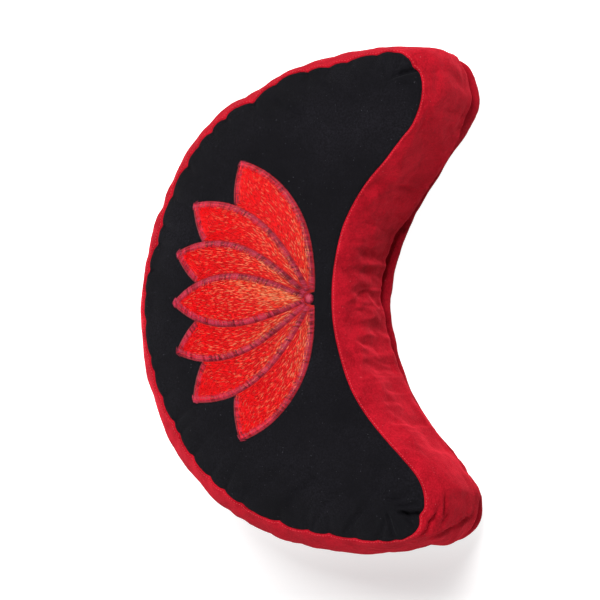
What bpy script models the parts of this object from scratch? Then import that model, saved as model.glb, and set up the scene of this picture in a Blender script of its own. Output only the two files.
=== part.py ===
"""Half-moon meditation cushion, lying on its back with its black face up.

Metres. +Z comes up out of the face, +X runs from horn to horn and the bay, the hollow side
that the sitter's heels go into, looks towards -Y. The origin is on the resting plane, under
the middle of the cushion's box.
"""
import math
from collections import namedtuple

import bmesh
import bpy
from mathutils import Vector

# Face seam, seen from above: four tangent arcs round a half moon
OUTER_RADIUS = 0.215        # long convex seam
BAY_RADIUS = 0.185          # concave seam
CENTRE_STEP = 0.154         # from the convex seam's centre to the concave seam's, towards -Y
HORN_RADIUS = 0.037         # rounded ends
RIBS = 40                   # stations along the convex seam, and the same along the bay
HORN_STEPS = 7              # stations round each horn

# Heights
BACK_SEAM_Z = 0.010         # the back panel curls up to its seam
SIDE_DEPTH = 0.118          # from the face seam down to the back seam
FACE_SEAM_Z = BACK_SEAM_Z + SIDE_DEPTH
FACE_CROWN = 0.022          # rise of the face over its seam, at the middle of the cushion
CROWN_POWER = 2.2           # higher is flatter on top and steeper at the seam
CROWN_FADE = 0.8            # how the crown follows the width down towards the horns
FLAT_INSET = 0.028          # the back is pressed flat from here inwards

# Cloth and gaps
FACE_CLOTH = 0.0018
BAND_CLOTH = 0.0020
BACK_CLOTH = 0.0020
GAP = 0.0003
BAND_ROOM = 0.0004          # more room under the band, which bends both ways
SLOPE_STEP = 0.003          # slopes are taken over this depth
FACE_EDGE = -0.00015        # the face panel stops just inside the seam line
BAND_EDGE = 0.0016          # the side band's top edge stands just outside it
BACK_EDGE = 0.0010          # the back panel shows its edge under the rear strip
STRIP_EDGE = 0.0012

# Side band: how far the filling pushes it out between its seams, by place round the half moon.
# Places run from 0 at the middle of the convex side to 1 where a horn starts, 2 where it ends
# and 3 at the middle of the bay, the same on both sides.
Swell = namedtuple("Swell", "place out")
TIP_SWELL = 0.0150
BACK_SWELL = 0.0105
SWELLS = (
    Swell(place=0.0, out=BACK_SWELL),
    Swell(place=0.5, out=0.0170),
    Swell(place=1.0, out=0.0095),
    Swell(place=1.3, out=0.0190),
    Swell(place=1.62, out=TIP_SWELL),
    Swell(place=2.05, out=0.0085),
    Swell(place=2.4, out=0.0125),
    Swell(place=3.0, out=0.0150),
)
BAND_POWER = 5.0
BAND_RINGS = (0.0, 0.06, 0.17, 0.38, 0.64, 0.87, 1.0)
FLAP_DEPTH = 0.084          # the band's folded rear edge, measured down from the face seam
FLAP_WAVE = 0.0014
NOTCH_X = 0.009             # a cross wrinkle pulls the free edge up here, near the middle
NOTCH_LIFT = 0.0085
NOTCH_WIDTH = 0.016
SEAM_GROOVE = 0.0035        # on the convex side that edge is sewn down into a groove
GROOVE_WIDTH = 0.008

# Rear strip: the part of the filled body that shows behind the band
PLACKET_ROOT = 0.0059       # floor of the recess that the flap covers
PLACKET_REACH = 0.016       # how far the recess runs in under the flap
SEAM_ROOT = 0.0062
EDGE_CLEARANCE = 0.0006     # from the flap's edge down to the recess floor's own edge
STRIP_RINGS = (0.06, 0.17, 0.33, 0.5, 0.67, 0.84)
STRIP_POWER = 2.4
STRIP_SHARE = 0.80          # swell of the strip, as a share of the band's beside it
BAY_STRIP_SHARE = 0.95

# Unevenness
GATHER = 0.0013             # in and out of the gathered convex seam
GATHER_PITCHES = (0.061, 0.043)
GATHER_FADE = 0.016
HORN_CORNER = 0.0045        # the face's ends are squarer than a circle, towards the convex side
CORNER_PLACE = 1.25
CORNER_SPREAD = 0.22

Fold = namedtuple("Fold", "x depth width")
BAY_FOLDS = (               # cross wrinkles of the band in the bay, by their place along X
    Fold(x=0.046, depth=0.0014, width=0.006),
    Fold(x=0.030, depth=0.0011, width=0.006),
    Fold(x=0.006, depth=0.0024, width=0.008),
    Fold(x=-0.041, depth=0.0014, width=0.007),
    Fold(x=-0.062, depth=0.0010, width=0.007),
)
Pucker = namedtuple("Pucker", "side place depth width")
HORN_PUCKERS = (            # pinches of the face seam on the horns, side 1 is towards +X
    Pucker(side=1, place=1.33, depth=0.0040, width=0.10),
    Pucker(side=-1, place=1.42, depth=0.0042, width=0.10),
)

# Lotus: thin stitched petals fanned from one point by the bay
LOTUS_BASE_INSET = 0.014    # from the bay seam, on the cushion's middle line
PETAL_CLOTH = 0.0012
PETAL_LIFT = 0.0006         # over the face panel's true crown
PETAL_GAP = 0.0008          # between neighbours, in plan
PETAL_START = 0.009         # the petals stop short of the fan's point
TIP_SHARE = 0.993           # their points are a stitch wide
PETAL_ROWS = 9
PETAL_COLUMNS = 4

Petal = namedtuple("Petal", "name turn length spread")
PETALS = (                  # top layer first, turns and spreads in degrees, each side mirrored
    Petal(name="lotus_petal_middle", turn=0, length=0.136, spread=27),
    Petal(name="lotus_petal_inner", turn=19, length=0.140, spread=28),
    Petal(name="lotus_petal_outer", turn=38, length=0.146, spread=29),
    Petal(name="lotus_petal_low", turn=62, length=0.143, spread=30),
)

COLOURS = {
    "black_cotton": (0.010, 0.010, 0.012),
    "red_velvet": (0.42, 0.010, 0.022),
    "red_thread": (0.80, 0.035, 0.020),
}


# ---- the half moon in plan -------------------------------------------------------------------

Station = namedtuple("Station", "edge out width place along bay swell")


def blend(low, high, share):
    return low + (high - low) * share


def ease(value):
    value = min(max(value, 0.0), 1.0)
    return value * value * (3 - 2 * value)


def horn_centre():
    """Centre of the right horn, from the middle of the convex seam's circle."""
    to_outer = OUTER_RADIUS - HORN_RADIUS
    to_bay = BAY_RADIUS + HORN_RADIUS
    y = (to_bay ** 2 - to_outer ** 2 - CENTRE_STEP ** 2) / (2 * CENTRE_STEP)
    return Vector((math.sqrt(to_outer ** 2 - y ** 2), y))


HORN = horn_centre()
BAY_CENTRE = Vector((0.0, -CENTRE_STEP))
RADII = OUTER_RADIUS + BAY_RADIUS
REACH_BACK = OUTER_RADIUS + BAND_EDGE + BACK_SWELL
STRIP_TOP = (PLACKET_ROOT + STRIP_EDGE) / 2 + BAY_STRIP_SHARE * TIP_SWELL
REACH_FRONT = HORN.y - HORN_RADIUS - STRIP_TOP
OUTER_CENTRE_Y = -(REACH_BACK + REACH_FRONT) / 2
MID_WIDTH = (OUTER_RADIUS - BAY_RADIUS + CENTRE_STEP) / 2


def from_angle(angle):
    """Unit vector turned from +Y towards +X."""
    return Vector((math.sin(angle), math.cos(angle)))


def spine_radius(angle):
    """Distance of the middle line from the convex seam's centre: an ellipse round both centres."""
    return (RADII ** 2 - CENTRE_STEP ** 2) / (2 * (RADII + CENTRE_STEP * math.cos(angle)))


def bay_spine_radius(angle):
    """The same line's distance from the bay's centre."""
    return (RADII ** 2 - CENTRE_STEP ** 2) / (2 * (RADII - CENTRE_STEP * math.cos(angle)))


def swell_at(place):
    """Smooth reading of the table of swells."""
    for low, high in zip(SWELLS, SWELLS[1:]):
        if place <= high.place:
            share = ease((place - low.place) / (high.place - low.place))
            return blend(low.out, high.out, share)
    return SWELLS[-1].out


def make_stations():
    """Places round the face seam, once round: convex side, right horn, bay, left horn."""
    end_angle = math.atan2(HORN.x, HORN.y)
    last_angle = math.pi + math.atan2(HORN.x, HORN.y + CENTRE_STEP)
    outer, right, bay, left = [], [], [], []
    for i in range(RIBS + 1):
        angle = blend(-end_angle, end_angle, i / RIBS)
        place = abs(angle) / end_angle
        out = from_angle(angle)
        spine = out * spine_radius(angle)
        width = OUTER_RADIUS - spine.length
        inward = (spine - BAY_CENTRE).normalized()
        outer.append((out * OUTER_RADIUS, out, width, place))
        bay.append((BAY_CENTRE + inward * BAY_RADIUS, -inward, width, 3 - place))
    for i in range(1, HORN_STEPS):
        share = i / HORN_STEPS
        out = from_angle(blend(end_angle, last_angle, share))
        mirrored = Vector((-out.x, out.y))
        centre = Vector((-HORN.x, HORN.y))
        right.append((HORN + out * HORN_RADIUS, out, HORN_RADIUS, 1 + share))
        left.append((centre + mirrored * HORN_RADIUS, mirrored, HORN_RADIUS, 1 + share))
    stations, along, before = [], 0.0, None
    for edge, out, width, place in outer + right + bay[::-1] + left[::-1]:
        along += (edge - before).length if before else 0.0
        before = edge
        weight = ease((place - 1.1) / 0.45)
        stations.append(Station(edge, out, width, place, along, weight, swell_at(place)))
    return stations


STATIONS = make_stations()


def ring(offset, height):
    """One closed loop of points: each station's seam point moved out by offset, at its height."""
    points = []
    for st in STATIONS:
        x, y = st.edge + st.out * offset(st)
        points.append(Vector((x, y + OUTER_CENTRE_Y, height(st))))
    return points


# ---- sections --------------------------------------------------------------------------------

def gather(st):
    """In and out of the face seam: scallops on the convex side, square and pinched horns."""
    shift = 0.0
    for number, pitch in enumerate(GATHER_PITCHES):
        shift += GATHER * math.sin(2 * math.pi * st.along / pitch + number)
    shift *= 1 - st.bay
    shift += HORN_CORNER * math.exp(-((st.place - CORNER_PLACE) / CORNER_SPREAD) ** 2)
    for pinch in HORN_PUCKERS:
        if st.edge.x * pinch.side > 0:
            shift -= pinch.depth * math.exp(-((st.place - pinch.place) / pinch.width) ** 2)
    return shift


def crown(share, width):
    """Rise of the face over its seam, share 0 at the seam and 1 on the middle line."""
    top = FACE_CROWN * (width / MID_WIDTH) ** CROWN_FADE
    return top * (1 - (1 - share) ** CROWN_POWER)


def crown_slope(share, width):
    top = FACE_CROWN * (width / MID_WIDTH) ** CROWN_FADE
    return top * CROWN_POWER * (1 - share) ** (CROWN_POWER - 1) / width


def back_lift(inset):
    """Height of the back panel at a distance in from its seam."""
    return BACK_SEAM_Z * max(1 - inset / FLAT_INSET, 0.0) ** 2


def back_slope(inset):
    return 2 * BACK_SEAM_Z * max(1 - inset / FLAT_INSET, 0.0) / FLAT_INSET


def through(cloth, slope):
    """Thickness of cloth and gap, measured along an axis that the cloth slopes against."""
    return (cloth + GAP) * math.sqrt(1 + slope ** 2)


def flap_depth(st):
    """Depth of the band's folded rear edge, which waves where it hangs free in the bay."""
    wave = math.sin(st.along / 0.021) + 0.6 * math.sin(st.along / 0.0125 + 1.0)
    notch = NOTCH_LIFT * math.exp(-((st.edge.x - NOTCH_X) / NOTCH_WIDTH) ** 2)
    return FLAP_DEPTH + st.bay * FLAP_WAVE * wave - (notch if st.place > 2 else 0.0)


def bay_fold(st, depth):
    """Depth of the cross wrinkles, deepest towards the free edge."""
    if st.bay < 1:
        return 0.0
    total = 0.0
    for fold in BAY_FOLDS:
        total += fold.depth * math.exp(-((st.edge.x - fold.x) / fold.width) ** 2)
    return total * ease(depth / FLAP_DEPTH)


def band_offset(st, depth):
    """How far the side band stands outside the seam line at a depth below the face seam."""
    offset = BAND_EDGE + st.swell * (1 - abs(2 * depth / SIDE_DEPTH - 1) ** BAND_POWER)
    offset += gather(st) * math.exp(-depth / GATHER_FADE)
    groove = math.exp(-((depth - FLAP_DEPTH) / GROOVE_WIDTH) ** 2)
    return offset - SEAM_GROOVE * (1 - st.bay) * groove - bay_fold(st, depth)


def recess_floor(st):
    """Floor of the seam or recess behind the band's rear edge."""
    behind = band_offset(st, flap_depth(st)) - BAND_CLOTH - GAP - BAND_ROOM
    return min(blend(SEAM_ROOT, PLACKET_ROOT, st.bay), behind)


def under_band(st, depth):
    """The filled body where the band covers it, drawn in towards the recess under the flap."""
    here = band_offset(st, depth)
    rise = here - band_offset(st, depth - SLOPE_STEP)
    fall = here - band_offset(st, depth + SLOPE_STEP)
    slope = max(abs(rise), abs(fall)) / SLOPE_STEP
    inner = here - through(BAND_CLOTH, slope) - BAND_ROOM
    drawn = ease((depth - flap_depth(st) + PLACKET_REACH) / PLACKET_REACH)
    return blend(inner, min(inner, recess_floor(st)), drawn)


def strip_offset(st, depth):
    """The rear strip, a narrow roll between the placket and the back seam."""
    share = (depth - flap_depth(st)) / (SIDE_DEPTH - flap_depth(st))
    root = blend(recess_floor(st), STRIP_EDGE, share)
    swell = st.swell * blend(STRIP_SHARE, BAY_STRIP_SHARE, st.bay)
    return root + swell * (1 - abs(2 * share - 1) ** STRIP_POWER)


# ---- meshes ----------------------------------------------------------------------------------

def link(obj, slot):
    """Put a piece in the cushion's collection with a material of its own."""
    material = bpy.data.materials.new(obj.name + "_" + slot)
    material.use_nodes = True
    shader = material.node_tree.nodes["Principled BSDF"]
    shader.inputs["Base Color"].default_value = (*COLOURS[slot], 1.0)
    shader.inputs["Roughness"].default_value = 0.55 if slot == "red_thread" else 0.9
    shader.inputs["Metallic"].default_value = 0.0
    obj.data.materials.append(material)
    CUSHION.objects.link(obj)
    return obj


def loft(name, rings, slot):
    """Quads between loops of points, with loops that fall together on the middle line merged."""
    bm = bmesh.new()
    loops = [[bm.verts.new(point) for point in points] for points in rings]
    count = len(STATIONS)
    for upper, lower in zip(loops, loops[1:]):
        for i in range(count):
            j = (i + 1) % count
            bm.faces.new((upper[i], upper[j], lower[j], lower[i]))
    bmesh.ops.remove_doubles(bm, verts=bm.verts, dist=0.00002)
    mesh = bpy.data.meshes.new(name)
    bm.normal_update()
    bm.to_mesh(mesh)
    bm.free()
    mesh.shade_smooth()
    return link(bpy.data.objects.new(name, mesh), slot)


def thicken(obj, cloth):
    """Give an open surface its cloth on the side away from its normals."""
    solid = obj.modifiers.new("cloth", "SOLIDIFY")
    solid.thickness = cloth
    solid.offset = -1
    solid.use_even_offset = True
    return obj


def face_rings(drop):
    """Loops of the crowned face from the middle line out to the seam."""
    loops = []
    for share in (1.0, 0.8, 0.6, 0.4, 0.2, 0.06, 0.0):
        loops.append(ring(
            lambda st: FACE_EDGE - share * (st.width + FACE_EDGE) + gather(st) * (1 - share) ** 2,
            lambda st: FACE_SEAM_Z + crown(share, st.width) - drop(share, st.width)))
    return loops


def make_face_panel():
    rings = face_rings(lambda share, width: 0.0)
    return thicken(loft("face_panel", rings, "black_cotton"), FACE_CLOTH)


def make_side_band():
    rings = []
    for share in BAND_RINGS:
        rings.append(ring(
            lambda st: band_offset(st, share * flap_depth(st)),
            lambda st: FACE_SEAM_Z - share * flap_depth(st)))
    return thicken(loft("side_band", rings, "red_velvet"), BAND_CLOTH)


def make_back_panel():
    rings = [ring(lambda st: BACK_EDGE, lambda st: BACK_SEAM_Z)]
    for inset in (0.010, 0.019, FLAT_INSET):
        rings.append(ring(lambda st: -inset, lambda st: back_lift(inset)))
    rings.append(ring(lambda st: -st.width, lambda st: 0.0))
    return thicken(loft("back_panel", rings, "black_cotton"), BACK_CLOTH)


def make_body():
    """The filled cushion: it shows as the rear strip, and carries the panels and the band."""
    rings = face_rings(lambda share, width: through(FACE_CLOTH, crown_slope(share, width)))[:-1]
    for share in BAND_RINGS[1:-1]:
        rings.append(ring(
            lambda st: under_band(st, share * flap_depth(st)),
            lambda st: FACE_SEAM_Z - share * flap_depth(st)))
    rings.append(ring(
        recess_floor,
        lambda st: FACE_SEAM_Z - flap_depth(st) - EDGE_CLEARANCE))
    for share in STRIP_RINGS:
        rings.append(ring(
            lambda st: strip_offset(st, blend(flap_depth(st), SIDE_DEPTH, share)),
            lambda st: FACE_SEAM_Z - blend(flap_depth(st), SIDE_DEPTH, share)))
    rise = through(BACK_CLOTH, back_slope(0.0))
    rings.append(ring(lambda st: STRIP_EDGE, lambda st: BACK_SEAM_Z + rise))
    for inset in (0.010, 0.019, FLAT_INSET):
        rings.append(ring(
            lambda st: -inset,
            lambda st: back_lift(inset) + through(BACK_CLOTH, back_slope(inset))))
    rings.append(ring(lambda st: -st.width, lambda st: BACK_CLOTH + GAP))
    return loft("cushion_body", rings, "red_velvet")


# ---- lotus -----------------------------------------------------------------------------------

def face_height(x, y):
    """Height of the face panel's top over a point in the part's frame."""
    point = Vector((x, y - OUTER_CENTRE_Y))
    spine = spine_radius(math.atan2(point.x, point.y))
    if point.length > spine:
        width = OUTER_RADIUS - spine
        inset = OUTER_RADIUS - point.length
    else:
        ray = point - BAY_CENTRE
        width = bay_spine_radius(math.atan2(ray.x, ray.y)) - BAY_RADIUS
        inset = ray.length - BAY_RADIUS
    return FACE_SEAM_Z + crown(inset / width, width)


def half_spread(petal, radius):
    """Half of the angle that a petal fills at a distance from the fan's point."""
    share = min(radius / petal.length, 1.0)
    return math.radians(petal.spread) * (1 - share ** 2)


def visible_span(index, radius):
    """Angles between which a petal shows, from under the petals that lie over it."""
    petal = PETALS[index]
    turn = math.radians(petal.turn)
    half = half_spread(petal, radius)
    low, high = turn - half, turn + half
    for upper in PETALS[:index]:
        if radius < upper.length:
            edge = math.radians(upper.turn) + half_spread(upper, radius)
            low = max(low, edge + PETAL_GAP / radius)
    return low, high


def make_petal(index, side):
    petal = PETALS[index]
    bm = bmesh.new()
    base_y = OUTER_CENTRE_Y - CENTRE_STEP + BAY_RADIUS + LOTUS_BASE_INSET
    rows = []
    for row in range(PETAL_ROWS + 1):
        share = math.sin(math.pi / 2 * row / PETAL_ROWS)
        radius = blend(PETAL_START, petal.length * TIP_SHARE, share)
        low, high = visible_span(index, radius)
        line = []
        for column in range(PETAL_COLUMNS + 1):
            angle = blend(low, high, column / PETAL_COLUMNS)
            x = side * radius * math.sin(angle)
            y = base_y + radius * math.cos(angle)
            line.append(bm.verts.new((x, y, face_height(x, y) + PETAL_LIFT)))
        rows.append(line)
    for near, far in zip(rows, rows[1:]):
        for a, b, c, d in zip(near, near[1:], far[1:], far):
            bm.faces.new((a, b, c, d))
    bmesh.ops.recalc_face_normals(bm, faces=bm.faces)
    if sum(face.normal.z for face in bm.faces) < 0:
        bmesh.ops.reverse_faces(bm, faces=bm.faces)
    suffix = {0: "", 1: "_right", -1: "_left"}[side if petal.turn else 0]
    mesh = bpy.data.meshes.new(petal.name + suffix)
    bm.to_mesh(mesh)
    bm.free()
    mesh.shade_smooth()
    obj = link(bpy.data.objects.new(petal.name + suffix, mesh), "red_thread")
    solid = thicken(obj, PETAL_CLOTH).modifiers["cloth"]
    solid.offset = 1
    return obj


def make_lotus():
    for index, petal in enumerate(PETALS):
        for side in ((1, -1) if petal.turn else (1,)):
            make_petal(index, side)


for old in list(bpy.data.objects):
    bpy.data.objects.remove(old, do_unlink=True)
CUSHION = bpy.data.collections.new("half_moon_cushion")
bpy.context.scene.collection.children.link(CUSHION)
make_body()
make_back_panel()
make_side_band()
make_face_panel()
make_lotus()
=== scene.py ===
"""Half-moon meditation cushion, lying on its back.

The sections follow the cushion as it is put together: the filled body, the back panel that it
rests on, the red side band with its loose rear flap, the black face, the seam stitches and the
stitched lotus. Metres, +Z out of the face, +X from horn to horn, -Y out of the bay.
"""

import math
from collections import namedtuple

import bmesh
import bpy
import numpy as np
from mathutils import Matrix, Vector


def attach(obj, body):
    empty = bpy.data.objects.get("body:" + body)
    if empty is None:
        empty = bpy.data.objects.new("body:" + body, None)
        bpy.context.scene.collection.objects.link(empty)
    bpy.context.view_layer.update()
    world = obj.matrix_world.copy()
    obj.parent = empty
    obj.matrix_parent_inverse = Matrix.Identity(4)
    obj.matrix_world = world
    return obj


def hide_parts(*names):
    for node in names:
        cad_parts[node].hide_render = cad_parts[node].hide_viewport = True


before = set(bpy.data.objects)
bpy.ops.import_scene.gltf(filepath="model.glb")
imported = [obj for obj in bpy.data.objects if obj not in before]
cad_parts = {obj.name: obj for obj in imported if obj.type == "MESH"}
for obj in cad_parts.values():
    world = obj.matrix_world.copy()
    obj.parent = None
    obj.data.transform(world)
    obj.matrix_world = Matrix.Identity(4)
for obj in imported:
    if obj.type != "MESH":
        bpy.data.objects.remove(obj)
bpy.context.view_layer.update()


# ---- Filled body ---------------------------------------------------------------------------
# Husk filling in a half moon of cloth, firm and a little lumpy. Only its rear strip shows, a
# narrow red roll of brushed cotton between the loose flap of the side band and the back seam.

OUTER_RADIUS = 0.215        # long convex seam
BAY_RADIUS = 0.185          # concave seam
CENTRE_STEP = 0.154         # between those two circles' centres
HORN_RADIUS = 0.037
BACK_SEAM_Z = 0.010
SIDE_DEPTH = 0.118
FACE_SEAM_Z = BACK_SEAM_Z + SIDE_DEPTH
FACE_CROWN = 0.022
CROWN_POWER = 2.2
CROWN_FADE = 0.8
FLAT_INSET = 0.028
FACE_CLOTH = 0.0018
BAND_CLOTH = 0.0020
BACK_CLOTH = 0.0020
CLOTH_GAP = 0.0004

TO_OUTER = OUTER_RADIUS - HORN_RADIUS
TO_BAY = BAY_RADIUS + HORN_RADIUS
HORN_Y = (TO_BAY ** 2 - TO_OUTER ** 2 - CENTRE_STEP ** 2) / (2 * CENTRE_STEP)
HORN_X = math.sqrt(TO_OUTER ** 2 - HORN_Y ** 2)
RADII = OUTER_RADIUS + BAY_RADIUS
MID_WIDTH = (OUTER_RADIUS - BAY_RADIUS + CENTRE_STEP) / 2

BAND_EDGE = 0.0016
TIP_SWELL = 0.0150
BACK_SWELL = 0.0105
SWELL_PLACES = (0.0, 0.5, 1.0, 1.3, 1.62, 2.05, 2.4, 3.0)
SWELL_SIZES = (BACK_SWELL, 0.0170, 0.0095, 0.0190, TIP_SWELL, 0.0085, 0.0125, 0.0150)
BAND_POWER = 3.0
FLAP_DEPTH = 0.084
PLACKET_ROOT = 0.0059
SEAM_ROOT = 0.0062
STRIP_EDGE = 0.0012
SEWN_GROOVE = 0.0035        # the hem's stitching draws the side in along the convex side
GROOVE_WIDE = 0.008
FINE_FADE = 0.007           # how far below the seam its small scallops reach
FLARE_START = 0.052
FLARE_RUN = 0.036
PLACKET_TUCK = 0.0045       # how far the placket runs in and down behind the loose edge
UNDER_FACE_ROOM = 0.0075    # between the body's skin and the creased cloths over it
UNDER_FACE_PULL = 0.0050
UNDER_BAND_ROOM = 0.0030
REACH_BACK = OUTER_RADIUS + BAND_EDGE + BACK_SWELL
REACH_FRONT = HORN_Y - HORN_RADIUS - (PLACKET_ROOT + STRIP_EDGE) / 2 - 0.95 * TIP_SWELL
SHIFT_Y = -(REACH_BACK + REACH_FRONT) / 2

Pattern = namedtuple("Pattern", "edge out width place along turn bay swell")


def ease(value):
    value = np.clip(value, 0.0, 1.0)
    return value * value * (3.0 - 2.0 * value)


def blend(low, high, share):
    return low + (high - low) * share


def swell_at(place):
    """The side's bulge at a place: 0 middle of the convex side, 1 to 2 round a horn, 3 mid bay."""
    found = np.full(place.shape, SWELL_SIZES[-1])
    for k in range(len(SWELL_PLACES) - 1):
        low, high = SWELL_PLACES[k], SWELL_PLACES[k + 1]
        part = blend(SWELL_SIZES[k], SWELL_SIZES[k + 1], ease((place - low) / (high - low)))
        found = np.where((place >= low) & (place <= high), part, found)
    return found


def cut_pattern(ribs, horn_steps):
    """The face seam as points once round: convex side, right horn, bay, left horn."""
    end = math.atan2(HORN_X, HORN_Y)
    last = math.pi + math.atan2(HORN_X, HORN_Y + CENTRE_STEP)
    angle = np.linspace(-end, end, ribs + 1)
    out = np.stack((np.sin(angle), np.cos(angle)), 1)
    spine = (RADII ** 2 - CENTRE_STEP ** 2) / (2 * (RADII + CENTRE_STEP * np.cos(angle)))
    width = OUTER_RADIUS - spine
    place = np.abs(angle) / end
    centre = np.array((0.0, -CENTRE_STEP))
    inward = out * spine[:, None] - centre
    inward /= np.linalg.norm(inward, axis=1)[:, None]
    share = np.arange(1, horn_steps) / horn_steps
    swing = blend(end, last, share)
    round_out = np.stack((np.sin(swing), np.cos(swing)), 1)
    mirror = np.array((-1.0, 1.0))
    horn = np.array((HORN_X, HORN_Y))
    edges = (out * OUTER_RADIUS, horn + round_out * HORN_RADIUS,
             (centre + inward * BAY_RADIUS)[::-1],
             ((horn + round_out * HORN_RADIUS) * mirror)[::-1])
    outs = (out, round_out, -inward[::-1], (round_out * mirror)[::-1])
    horn_width = np.full(horn_steps - 1, HORN_RADIUS)
    widths = (width, horn_width, width[::-1], horn_width)
    places = (place, 1 + share, 3 - place[::-1], 1 + share[::-1])
    edge = np.concatenate(edges)
    step = np.linalg.norm(np.diff(edge, axis=0), axis=1)
    along = np.concatenate(((0.0,), np.cumsum(step)))
    place = np.concatenate(places)
    turn = along - along[ribs // 2]
    turn = (turn + ROUND / 2) % ROUND - ROUND / 2
    return Pattern(edge, np.concatenate(outs), np.concatenate(widths), place, along, turn,
                   ease((place - 1.1) / 0.45), swell_at(place))


CONVEX_LENGTH = 2 * OUTER_RADIUS * math.atan2(HORN_X, HORN_Y)
BAY_LENGTH = 2 * BAY_RADIUS * math.atan2(HORN_X, HORN_Y + CENTRE_STEP)
HORN_TURN = math.pi + math.atan2(HORN_X, HORN_Y + CENTRE_STEP) - math.atan2(HORN_X, HORN_Y)
HORN_LENGTH = HORN_RADIUS * HORN_TURN
ROUND = CONVEX_LENGTH + BAY_LENGTH + 2 * HORN_LENGTH
RIBS = 320
HORN_STEPS = 44
PAT = cut_pattern(RIBS, HORN_STEPS)


def travel(place):
    """Length along the seam from the middle of the convex side, minus towards the left horn."""
    near = abs(place)
    size = min(near, 1.0) * CONVEX_LENGTH / 2
    size += min(max(near - 1.0, 0.0), 1.0) * HORN_LENGTH
    size += max(near - 2.0, 0.0) * BAY_LENGTH / 2
    return math.copysign(size, place)


def wrapped(length):
    return (length + ROUND / 2) % ROUND - ROUND / 2


def lumps(length, depth, pitch, seed):
    """Smooth unevenness from -1 to 1 with lumps about one pitch apart, the same once round."""
    across = max(int(round(ROUND / pitch)), 3)
    values = np.random.RandomState(seed).uniform(-1, 1, (across, across))
    u = (length / ROUND + 2.0) * across
    v = (depth / ROUND + 2.0) * across
    i, j = np.floor(u).astype(int), np.floor(v).astype(int)
    fu, fv = ease(u - i), ease(v - j)
    i0, i1 = i % across, (i + 1) % across
    j0, j1 = j % across, (j + 1) % across
    low = blend(values[i0, j0], values[i1, j0], fu)
    high = blend(values[i0, j1], values[i1, j1], fu)
    return blend(low, high, fv)


Crease = namedtuple("Crease", "line deep wide lip")


def creases(turn, depth, folds):
    """Soft troughs along lines of (place, depth in mm), each with a lip on its one side."""
    total = np.zeros(np.broadcast(turn, depth).shape)
    for fold in folds:
        points = [(travel(place), mm / 1000) for place, mm in fold.line]
        lengths = []
        for a, b in zip(points, points[1:]):
            lengths.append(math.hypot(wrapped(b[0] - a[0]), b[1] - a[1]))
        whole, run = sum(lengths), 0.0
        nearest = np.full(total.shape, 9.0)
        side = np.zeros(total.shape)
        share = np.zeros(total.shape)
        for a, b, length in zip(points, points[1:], lengths):
            du, dv = wrapped(b[0] - a[0]) / length, (b[1] - a[1]) / length
            pu, pv = wrapped(turn - a[0]), depth - a[1]
            ahead = np.clip(pu * du + pv * dv, 0.0, length)
            off_u, off_v = pu - ahead * du, pv - ahead * dv
            far = np.hypot(off_u, off_v)
            closer = far < nearest
            nearest = np.where(closer, far, nearest)
            side = np.where(closer, np.sign(pu * dv - pv * du), side)
            share = np.where(closer, (run + ahead) / whole, share)
            run += length
        wide = fold.wide / 1000
        fade = ease(np.minimum(share, 1 - share) * 3.5 + 0.12)
        trough = np.exp(-(nearest / wide) ** 2)
        lip = np.exp(-((nearest * side - 1.7 * wide) / (0.9 * wide)) ** 2)
        total += fade / 1000 * (fold.lip * lip - fold.deep * trough)
    return total


def wander(turn, table, soften):
    """Metres at a length round the seam, from a table of (place, mm), with its corners softened."""
    keys = [travel(place) for place, size in table]
    sizes = [size / 1000 for place, size in table]
    keys = [keys[-1] - ROUND, *keys, keys[0] + ROUND]
    sizes = [sizes[-1], *sizes, sizes[0]]
    total = np.zeros(turn.shape)
    for slide in (-1.0, -0.33, 0.33, 1.0):
        total += np.interp(wrapped(turn + slide * soften), keys, sizes) / 4
    return total


def at_tenths(*sizes):
    """A table of (place, mm) from sizes at each tenth of a place, from the bay's middle round."""
    return tuple((round(-3.0 + 0.1 * k, 1), size) for k, size in enumerate(sizes))


# How the sewn seam wanders from its cut line, as (place, mm)
SEAM_DRAWN = (
    (-2.90, 0.0), (-2.70, 0.6), (-2.50, -0.4), (-2.20, 1.1), (-2.06, 0.0), (-1.96, -2.8), (-1.80, -2.4),
    (-1.60, -0.2), (-1.50, 1.4), (-1.38, 3.0), (-1.25, 6.2), (-1.10, 3.4), (-1.00, 2.2), (-0.86, -3.2),
    (-0.73, -1.2), (-0.57, 2.4), (-0.42, 2.4), (-0.30, 0.2), (-0.10, 0.0), (0.00, 0.4), (0.08, 0.0),
    (0.17, -4.0), (0.30, -0.8), (0.45, 2.6), (0.55, 2.2), (0.62, -3.6), (0.72, 1.0), (0.84, -3.4),
    (0.92, -0.4), (1.03, 5.2), (1.13, 7.4), (1.25, 3.8), (1.38, 3.2), (1.50, 0.6), (1.60, -1.6),
    (1.80, -3.0), (1.93, -0.8), (2.10, 2.8), (2.20, 4.6), (2.35, 2.0), (2.60, -0.8), (2.80, 0.0),
)
# How the filling pushes the side in and out. These sizes, and those of FLAP_FLARE and STRIP_DRAWN,
# weren't set by hand: another program fitted them to the outline, and seven were changed since.
SIDE_PUSHED = at_tenths(
    1.0, -0.6, 0.3, 2.1, 2.6, 3.4, 3.9, 5.0, 5.5, 5.1, 3.1, 3.7, -1.6, 5.2, 2.4,
    -0.4, 0.4, -4.0, -3.6, -8.0, -3.0, -1.6, -1.7, 0.8, 2.1, 5.7, 6.8, 6.5, 8.9, 6.3,
    5.9, 5.6, 4.3, 4.0, 4.0, 3.8, -0.1, -2.0, -0.8, 2.8, 3.0, 0.8, 5.4, 4.7, -2.2,
    -1.5, -2.0, -7.9, -4.5, -3.6, -1.2, 1.8, 3.1, 3.0, 2.3, 1.6, 0.5, -0.2, 0.0, -0.2)
PAT = PAT._replace(swell=PAT.swell + wander(PAT.turn, SIDE_PUSHED, 0.006))

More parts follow.
